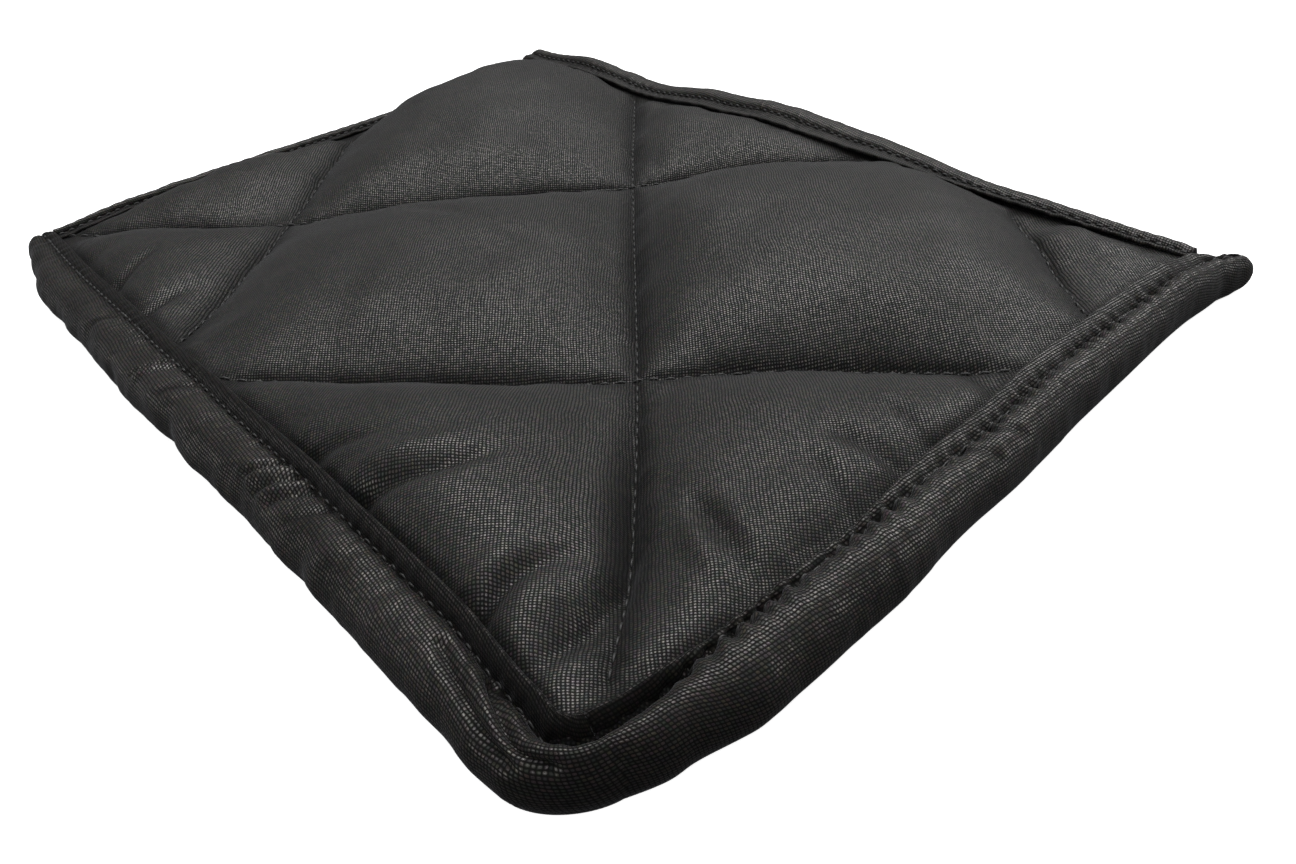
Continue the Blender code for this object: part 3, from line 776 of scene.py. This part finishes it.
def build_strip(name, strip, r, material):
    """One folded strip of binding, a closed mesh with thickness. Also returns its outer face and lengths."""
    outer, normal, s, w, dent, unshaded = strip_surface(strip, r)
    n, m = outer.shape[:2]
    inner = outer - normal * STRIP_CLOTH
    middle = 0.42 * r["size"]["top"][:, None]
    upper = (np.arange(m) < 0.55 * m)[None, :]
    flat = np.stack([
        np.minimum(inner[..., 0], r["size"]["roll"][:, None] - 3.0),
        np.broadcast_to(middle + np.where(upper, 0.25, -0.25), (n, m)),
    ], axis=-1)
    closing = r["closing"][:, None, None]
    inner = inner * (1 - closing) + flat * closing
    # The rounded fold along the flange's edge
    edge_mid = 0.5 * (outer[:, 0] + inner[:, 0])
    half = 0.5 * np.linalg.norm(outer[:, 0] - inner[:, 0], axis=1)[:, None]
    across = (outer[:, 0] - edge_mid) / np.maximum(half, 1e-9)
    away = np.stack([-across[:, 1], across[:, 0]], axis=1)
    fold = []
    for angle in (-50, 0, 50):
        turn = math.radians(angle)
        fold.append(edge_mid + half * (math.sin(turn) * across + 0.8 * math.cos(turn) * away))
    section = np.concatenate([np.stack(fold, axis=1), outer, inner[:, ::-1]], axis=1)
    count = section.shape[1]
    spot = r["point"][:, None] + r["out"][:, None] * section[..., :1]
    vertices = world_points(spot.reshape(-1, 2), section[..., 1].ravel())
    base = (np.arange(n - 1) * count)[:, None]
    k = np.arange(count)[None, :]
    k2 = (k + 1) % count
    quads = np.stack([base + k, base + k2, base + k2 + count, base + k + count], axis=-1)
    faces = [tuple(q) for q in quads.reshape(-1, 4)]
    first_outer = 3
    for row, flip in ((0, True), (n - 1, False)):
        b = row * count
        for i in range(m - 1):
            quad = (b + first_outer + i, b + first_outer + i + 1, b + count - 2 - i, b + count - 1 - i)
            faces.append(quad[::-1] if flip else quad)
        tip = (b + 0, b + 1, b + 2, b + first_outer, b + count - 1)
        faces.append(tip[::-1] if flip else tip)
    thing = new_object(name, vertices, faces, material)
    across_cloth = all_round(w, w[:, :1] - 0.6)
    along_cloth = np.broadcast_to(s[:, None], across_cloth.shape)
    # Marks for the material's painted shade: nearness to stitches, folds and hollows, the flange's share of
    # shade, and height.
    shade_marks = (all_round(dent, dent[:, :1]), all_round(unshaded, unshaded[:, :1]), section[..., 1])
    set_attribute(thing, "cloth", np.stack([along_cloth, across_cloth, 0 * across_cloth], axis=-1))
    set_attribute(thing, "shade_marks", np.stack(shade_marks, axis=-1))
    return thing, outer, s


# Stitches

def stitch_mesh(name, rows, material, radius, sides=6):
    """Short thread lengths. Each row is a list of points along one stitch, in metres."""
    vertices, faces = [], []
    for path in rows:
        path = np.asarray(path)
        n = len(path)
        along = np.gradient(path, axis=0)
        along /= np.linalg.norm(along, axis=1)[:, None]
        up = np.array([0.0, 0.0, 1.0])
        first = len(vertices)
        for i in range(n):
            across = np.cross(along[i], up)
            across /= np.linalg.norm(across)
            lift = np.cross(across, along[i])
            shrink = 0.35 if i in (0, n - 1) else 1.0
            for k in range(sides):
                angle = 2 * math.pi * k / sides
                around = math.cos(angle) * across + math.sin(angle) * lift
                vertices.append(path[i] + radius * shrink * around)
        for i in range(n - 1):
            for k in range(sides):
                a = first + i * sides + k
                b = first + i * sides + (k + 1) % sides
                faces.append((a, a + sides, b + sides, b))
        faces.append(tuple(first + k for k in range(sides)))
        faces.append(tuple(first + (n - 1) * sides + k for k in range(sides))[::-1])
    return new_object(name, vertices, faces, material)


def quilt_stitches():
    """Stitches along the quilted lines."""
    rows = []
    for name in SEAM_NAMES:
        line, _ = resample(SEAMS[name], 0.25)
        bands = edge_band(line)
        keep = np.min([gap for _, gap, _ in bands], axis=0) > 0.5
        s = along_line(line)
        z, _, _ = face_height(line)
        count = int(s[-1] / QUILT_STITCH)
        for i in range(count):
            a = (i + 0.16) * QUILT_STITCH
            b = (i + 0.84) * QUILT_STITCH
            at = np.linspace(a, b, 6)
            if not np.interp(at, s, keep.astype(float)).min() > 0.99:
                continue
            xy = np.stack([np.interp(at, s, line[:, k]) for k in range(2)], axis=1)
            rows.append(world_points(xy, np.interp(at, s, z) + QUILT_ARCH))
    return rows


def edge_stitches(r, outer, s):
    """Stitches that hold one strip, in the groove between its flange and its roll."""
    xy = r["point"] + r["out"] * outer[:, STITCHED, :1]
    z = outer[:, STITCHED, 1]
    open_part = r["closing"] < 0.05
    rows = []
    for i in range(int(s[-1] / EDGE_STITCH)):
        at = np.linspace((i + 0.18) * EDGE_STITCH, (i + 0.82) * EDGE_STITCH, 6)
        if np.interp(at, s, open_part.astype(float)).min() < 0.99:
            continue
        spot = np.stack([np.interp(at, s, xy[:, k]) for k in range(2)], axis=1)
        rows.append(world_points(spot, np.interp(at, s, z) + EDGE_ARCH))
    return rows


# Materials

class Graph:
    """A small help to write shader nodes."""

    def __init__(self, name):
        self.material = bpy.data.materials.new(name)
        self.material.use_nodes = True
        self.nodes = self.material.node_tree.nodes
        self.links = self.material.node_tree.links
        self.shader = self.nodes["Principled BSDF"]

    def put(self, socket, value):
        if isinstance(value, bpy.types.NodeSocket):
            self.links.new(value, socket)
        else:
            socket.default_value = value

    def math(self, operation, a, b=None, clamp=False):
        node = self.nodes.new("ShaderNodeMath")
        node.operation = operation
        node.use_clamp = clamp
        self.put(node.inputs[0], a)
        if b is not None:
            self.put(node.inputs[1], b)
        return node.outputs[0]

    def attribute(self, name):
        node = self.nodes.new("ShaderNodeAttribute")
        node.attribute_type = "GEOMETRY"
        node.attribute_name = name
        return node.outputs["Vector"]

    def split(self, vector):
        node = self.nodes.new("ShaderNodeSeparateXYZ")
        self.put(node.inputs[0], vector)
        return node.outputs

    def noise(self, vector, scale, detail=2.0, roughness=0.5):
        node = self.nodes.new("ShaderNodeTexNoise")
        self.put(node.inputs["Vector"], vector)
        node.inputs["Scale"].default_value = scale
        node.inputs["Detail"].default_value = detail
        node.inputs["Roughness"].default_value = roughness
        return node.outputs["Fac"]

    def cell(self, a, b):
        """A random number and a random colour for each cell of the weave."""
        both = self.nodes.new("ShaderNodeCombineXYZ")
        self.put(both.inputs[0], a)
        self.put(both.inputs[1], b)
        node = self.nodes.new("ShaderNodeTexWhiteNoise")
        node.noise_dimensions = "2D"
        self.put(node.inputs["Vector"], both.outputs[0])
        return node.outputs["Value"], node.outputs["Color"]

    def tinted(self, tint, colour, share):
        """A colour that varies a little in hue from yarn to yarn."""
        node = self.nodes.new("ShaderNodeMix")
        node.data_type = "RGBA"
        node.blend_type = "MULTIPLY"
        node.inputs[0].default_value = share
        self.put(node.inputs[6], (*colour, 1.0))
        self.put(node.inputs[7], tint)
        return node.outputs[2]

    def span(self, value, from_low, from_high, to_low, to_high):
        node = self.nodes.new("ShaderNodeMapRange")
        self.put(node.inputs["Value"], value)
        labels = ("From Min", "From Max", "To Min", "To Max")
        for label, number in zip(labels, (from_low, from_high, to_low, to_high)):
            node.inputs[label].default_value = number
        return node.outputs[0]

    def mix(self, share, a, b):
        node = self.nodes.new("ShaderNodeMix")
        node.data_type = "RGBA"
        self.put(node.inputs[0], share)
        self.put(node.inputs[6], a)
        self.put(node.inputs[7], b)
        return node.outputs[2]


# A plain weave. angle turns its yarns in the cloth's plane and skew slants one set of them. warp and weft are
# the yarns' spacings in mm, and rib flattens the crowns one way. The three shades are painted shade: each gives
# the reach of one mark, and how dark the cloth's colour is painted where that mark is 0. The marks are nearness
# to a seam, crease, fold, hollow or stitch; nearness to the binding, or on the binding how far the flange is
# spared; and height, so lower parts are painted darker.
Weave = namedtuple("Weave", "name angle skew warp weft rib light roughness seam_shade edge_shade low_shade")
PANEL_WEAVE = Weave(
    "quilted_nylon", angle=math.radians(49.7), skew=0.0, warp=0.625, weft=0.53, rib=1.0,
    light=(0.102, 0.101, 0.096), roughness=0.24,
    seam_shade=(5.0, 0.35), edge_shade=(4.0, 0.35), low_shade=(1.0, 0.5),
)
BINDING_WEAVE = Weave(
    "binding_nylon", angle=-0.216, skew=0.32, warp=0.69, weft=0.655, rib=0.6,
    light=(0.086, 0.081, 0.075), roughness=0.20,
    seam_shade=(1.6, 0.4), edge_shade=(1.0, 0.4), low_shade=(10.0, 0.25),
)
BETWEEN_YARNS = (0.0015, 0.0015, 0.0015, 1.0)
NO_SHINE = (0.0, 0.0, 0.0, 1.0)
FULL_SHINE = (1.0, 0.98, 0.95, 1.0)
WEAVE_RELIEF = 0.035    # in mm


def yarns(g, cloth, weave):
    """One crown for each crossing of yarns, 0 between them, with a random number and colour for each."""
    x, y, _ = g.split(cloth)
    slow = g.math("SUBTRACT", g.noise(cloth, 0.09, 3.0), 0.5)
    quick = g.math("SUBTRACT", g.noise(cloth, 0.9, 2.0), 0.5)
    cos, sin = math.cos(weave.angle), math.sin(weave.angle)
    along = g.math("ADD", g.math("MULTIPLY", x, cos), g.math("MULTIPLY", y, sin))
    across = g.math("SUBTRACT", g.math("MULTIPLY", y, cos), g.math("MULTIPLY", x, sin))
    across = g.math("SUBTRACT", across, g.math("MULTIPLY", along, weave.skew))
    across = g.math("ADD", across, g.math("MULTIPLY", slow, 1.6))
    along = g.math("ADD", along, g.math("MULTIPLY", quick, 0.35))
    a = g.math("MULTIPLY", across, math.pi / weave.warp)
    b = g.math("MULTIPLY", along, math.pi / weave.weft)
    crossing = g.math("POWER", g.math("ABSOLUTE", g.math("SINE", b)), weave.rib)
    crown = g.math("MULTIPLY", g.math("ABSOLUTE", g.math("SINE", a)), crossing)
    row = g.math("FLOOR", g.math("MULTIPLY", a, 1 / math.pi))
    column = g.math("FLOOR", g.math("MULTIPLY", b, 1 / math.pi))
    return (crown, *g.cell(row, column))


def woven(weave):
    """Plain-weave nylon: bright crowns, dark between them, with painted shade in the seams, creases and stitch
    grooves, beside the binding and on its flange, and on lower parts.
    """
    g = Graph(weave.name)
    cloth = g.attribute("cloth")
    crown, fleck, tint = yarns(g, cloth, weave)
    brightness = g.span(g.math("POWER", fleck, 1.5), 0.0, 1.0, 0.5, 1.25)
    shade = g.math("MULTIPLY", g.math("POWER", crown, 2.5), brightness)
    shade = g.span(shade, 0.0, 1.0, 0.14, 1.0)
    patch = g.noise(cloth, 0.035, 4.0, 0.6)
    shade = g.math("MULTIPLY", shade, g.span(patch, 0.3, 0.7, 0.85, 1.15))
    # Painted shade: the colour darkens by each mark, near seams, creases and stitches, beside the binding and on
    # its flange, and low down.
    shade_marks = g.split(g.attribute("shade_marks"))
    for mark, (reach, least) in zip(shade_marks, (weave.seam_shade, weave.edge_shade, weave.low_shade)):
        shade = g.math("MULTIPLY", shade, g.span(mark, 0.0, reach, least, 1.0))
    g.put(g.shader.inputs["Base Color"], g.mix(shade, BETWEEN_YARNS, g.tinted(tint, weave.light, 0.3)))
    # The shine follows that colour, so the painted shade also dims the reflections.
    shine = g.span(shade, 0.12, 0.95, 0.08, 1.15)
    g.put(g.shader.inputs["Specular Tint"], g.mix(shine, NO_SHINE, FULL_SHINE))
    gloss = g.math("MULTIPLY", crown, g.span(fleck, 0.0, 1.0, 0.75, 1.1))
    g.put(g.shader.inputs["Roughness"], g.span(gloss, 0.1, 0.9, 0.9, weave.roughness))
    g.shader.inputs["Sheen Weight"].default_value = 0.11
    g.shader.inputs["Sheen Roughness"].default_value = 0.3
    g.shader.inputs["Sheen Tint"].default_value = (0.9, 0.92, 1.0, 1.0)
    g.shader.inputs["Specular IOR Level"].default_value = 0.9
    bump = g.nodes.new("ShaderNodeBump")
    bump.inputs["Distance"].default_value = WEAVE_RELIEF * MM
    bump.inputs["Strength"].default_value = 1.0
    g.put(bump.inputs["Height"], gloss)
    g.put(g.shader.inputs["Normal"], bump.outputs[0])
    return g.material


def thread_material():
    g = Graph("black_thread")
    coordinates = g.nodes.new("ShaderNodeTexCoord").outputs["Object"]
    twist = g.noise(coordinates, 4000.0, 2.0)
    g.put(g.shader.inputs["Base Color"], g.mix(twist, (0.012, 0.012, 0.012, 1), (0.06, 0.06, 0.06, 1)))
    g.shader.inputs["Roughness"].default_value = 0.45
    return g.material


def floor_material():
    """Pale floor. What bounces off it onto the cloth is weaker, as on a studio table."""
    g = Graph("pale_floor")
    ray = g.nodes.new("ShaderNodeLightPath").outputs["Is Camera Ray"]
    g.put(g.shader.inputs["Base Color"], g.mix(ray, (0.10, 0.10, 0.10, 1), (0.88, 0.88, 0.88, 1)))
    g.shader.inputs["Roughness"].default_value = 0.9
    g.shader.inputs["Specular IOR Level"].default_value = 0.0
    g.shader.inputs["Emission Color"].default_value = (1.0, 1.0, 1.0, 1.0)
    g.put(g.shader.inputs["Emission Strength"], g.math("MULTIPLY", ray, 0.85))
    return g.material


# Camera, light and floor

# The camera as solved from the photograph
CAMERA_PLACE = Vector((-0.13025, -0.19550, 0.1248))
CAMERA_RIGHT = Vector((0.7488, -0.6586, -0.0747))
CAMERA_UP = Vector((0.4447, 0.4156, 0.7934))
CAMERA_FORWARD = Vector((0.4915, 0.6273, -0.6041))
LENS = 27.78
SENSOR = 36.0

# Square soft lights a metre from the middle of the sample: direction in degrees and power in watts
Light = namedtuple("Light", "name azimuth elevation power")
LIGHTS = [
    Light("overhead", 0, 90, 1.9),
    Light("high_back", 60, 64, 3.1),
    Light("high_right", 0, 64, 1.2),
    Light("high_left", 120, 64, 1.2),
    Light("right", 0, 38, 3.0),
    Light("back", 45, 38, 1.0),
    Light("front", 240, 50, 1.7),
    Light("low_right", 315, 12, 1.5),
    Light("low_back_left", 135, 12, 0.6),
    Light("low_left", 180, 14, 1.5),
]
LIGHT_SIZE = 0.55
SURROUND = 0.05
FLOOR_HALF = 3
FLOOR_Z = -0.0003


def add_camera(scene):
    camera = bpy.data.objects.new("camera", bpy.data.cameras.new("camera"))
    scene.collection.objects.link(camera)
    place = Matrix((CAMERA_RIGHT, CAMERA_UP, -CAMERA_FORWARD)).transposed().to_4x4()
    place.translation = CAMERA_PLACE
    camera.matrix_world = place
    camera.data.sensor_fit = "HORIZONTAL"
    camera.data.sensor_width = SENSOR
    camera.data.lens = LENS
    camera.data.clip_start = 0.005
    scene.camera = camera


def add_floor():
    far = FLOOR_HALF
    corners = [(-far, -far, 0), (far, -far, 0), (far, far, 0), (-far, far, 0)]
    floor = new_object("floor", corners, [(0, 1, 2, 3)], floor_material())
    floor.location.z = FLOOR_Z


def add_surround(scene):
    """A dim even light from all round, plain white where the camera sees it."""
    world = bpy.data.worlds.new("studio")
    scene.world = world
    world.use_nodes = True
    nodes, links = world.node_tree.nodes, world.node_tree.links
    background = nodes["Background"]
    background.inputs["Color"].default_value = (1.0, 1.0, 1.0, 1.0)
    ray = nodes.new("ShaderNodeLightPath").outputs["Is Camera Ray"]
    seen = nodes.new("ShaderNodeMix")
    seen.data_type = "FLOAT"
    links.new(ray, seen.inputs[0])
    seen.inputs[2].default_value = SURROUND
    seen.inputs[3].default_value = 1.0
    links.new(seen.outputs[0], background.inputs["Strength"])


def add_light(scene, light):
    lamp = bpy.data.lights.new(light.name, "AREA")
    lamp.shape = "SQUARE"
    lamp.size = LIGHT_SIZE
    lamp.energy = light.power
    thing = bpy.data.objects.new(light.name, lamp)
    scene.collection.objects.link(thing)
    a, e = math.radians(light.azimuth), math.radians(light.elevation)
    place = Vector((math.cos(e) * math.cos(a), math.cos(e) * math.sin(a), math.sin(e)))
    thing.location = place
    thing.rotation_euler = (-place).to_track_quat("-Z", "Y").to_euler()


def stage():
    scene = bpy.context.scene
    scene.view_settings.view_transform = "Standard"
    add_camera(scene)
    add_floor()
    add_surround(scene)
    for light in LIGHTS:
        add_light(scene, light)


# Making

def strip_runs():
    """The three strips of binding, each as a run of sections."""
    step = STRIP_STEP
    front_end = EDGES["front"].length + 12.5
    right_end = EDGES["right"].length + 4.5
    return {
        "left_and_front": join_runs([
            backwards(free_end("left", 4.5, -1.0, step, 8.5, 0.0)),
            straight("left", 4.5, straight_end("left", "front"), step),
            corner("left", "front", step),
            straight("front", straight_start("left"), front_end, step),
            free_end("front", front_end, 1.0, step),
        ]),
        "right": join_runs([
            straight("right", 5.0, right_end, step),
            free_end("right", right_end, 1.0, step),
        ]),
        "back": straight("back", 4.2, 178.0, step),
    }


def main():
    stage()
    panel_cloth = woven(PANEL_WEAVE)
    strip_cloth = woven(BINDING_WEAVE)
    thread = thread_material()

    panel = build_panel(panel_cloth)
    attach(panel, "root")
    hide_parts("quilted_panel")

    threads = []
    for strip, r in strip_runs().items():
        thing, outer, s = build_strip("cloth_binding_" + strip, strip, r, strip_cloth)
        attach(thing, "root")
        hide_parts("binding_" + strip)
        threads += edge_stitches(r, outer, s)
    for name, rows in (("quilting_stitches", quilt_stitches()), ("binding_stitches", threads)):
        thing = stitch_mesh(name, rows, thread, THREAD_R * MM)
        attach(thing, "root")


main()
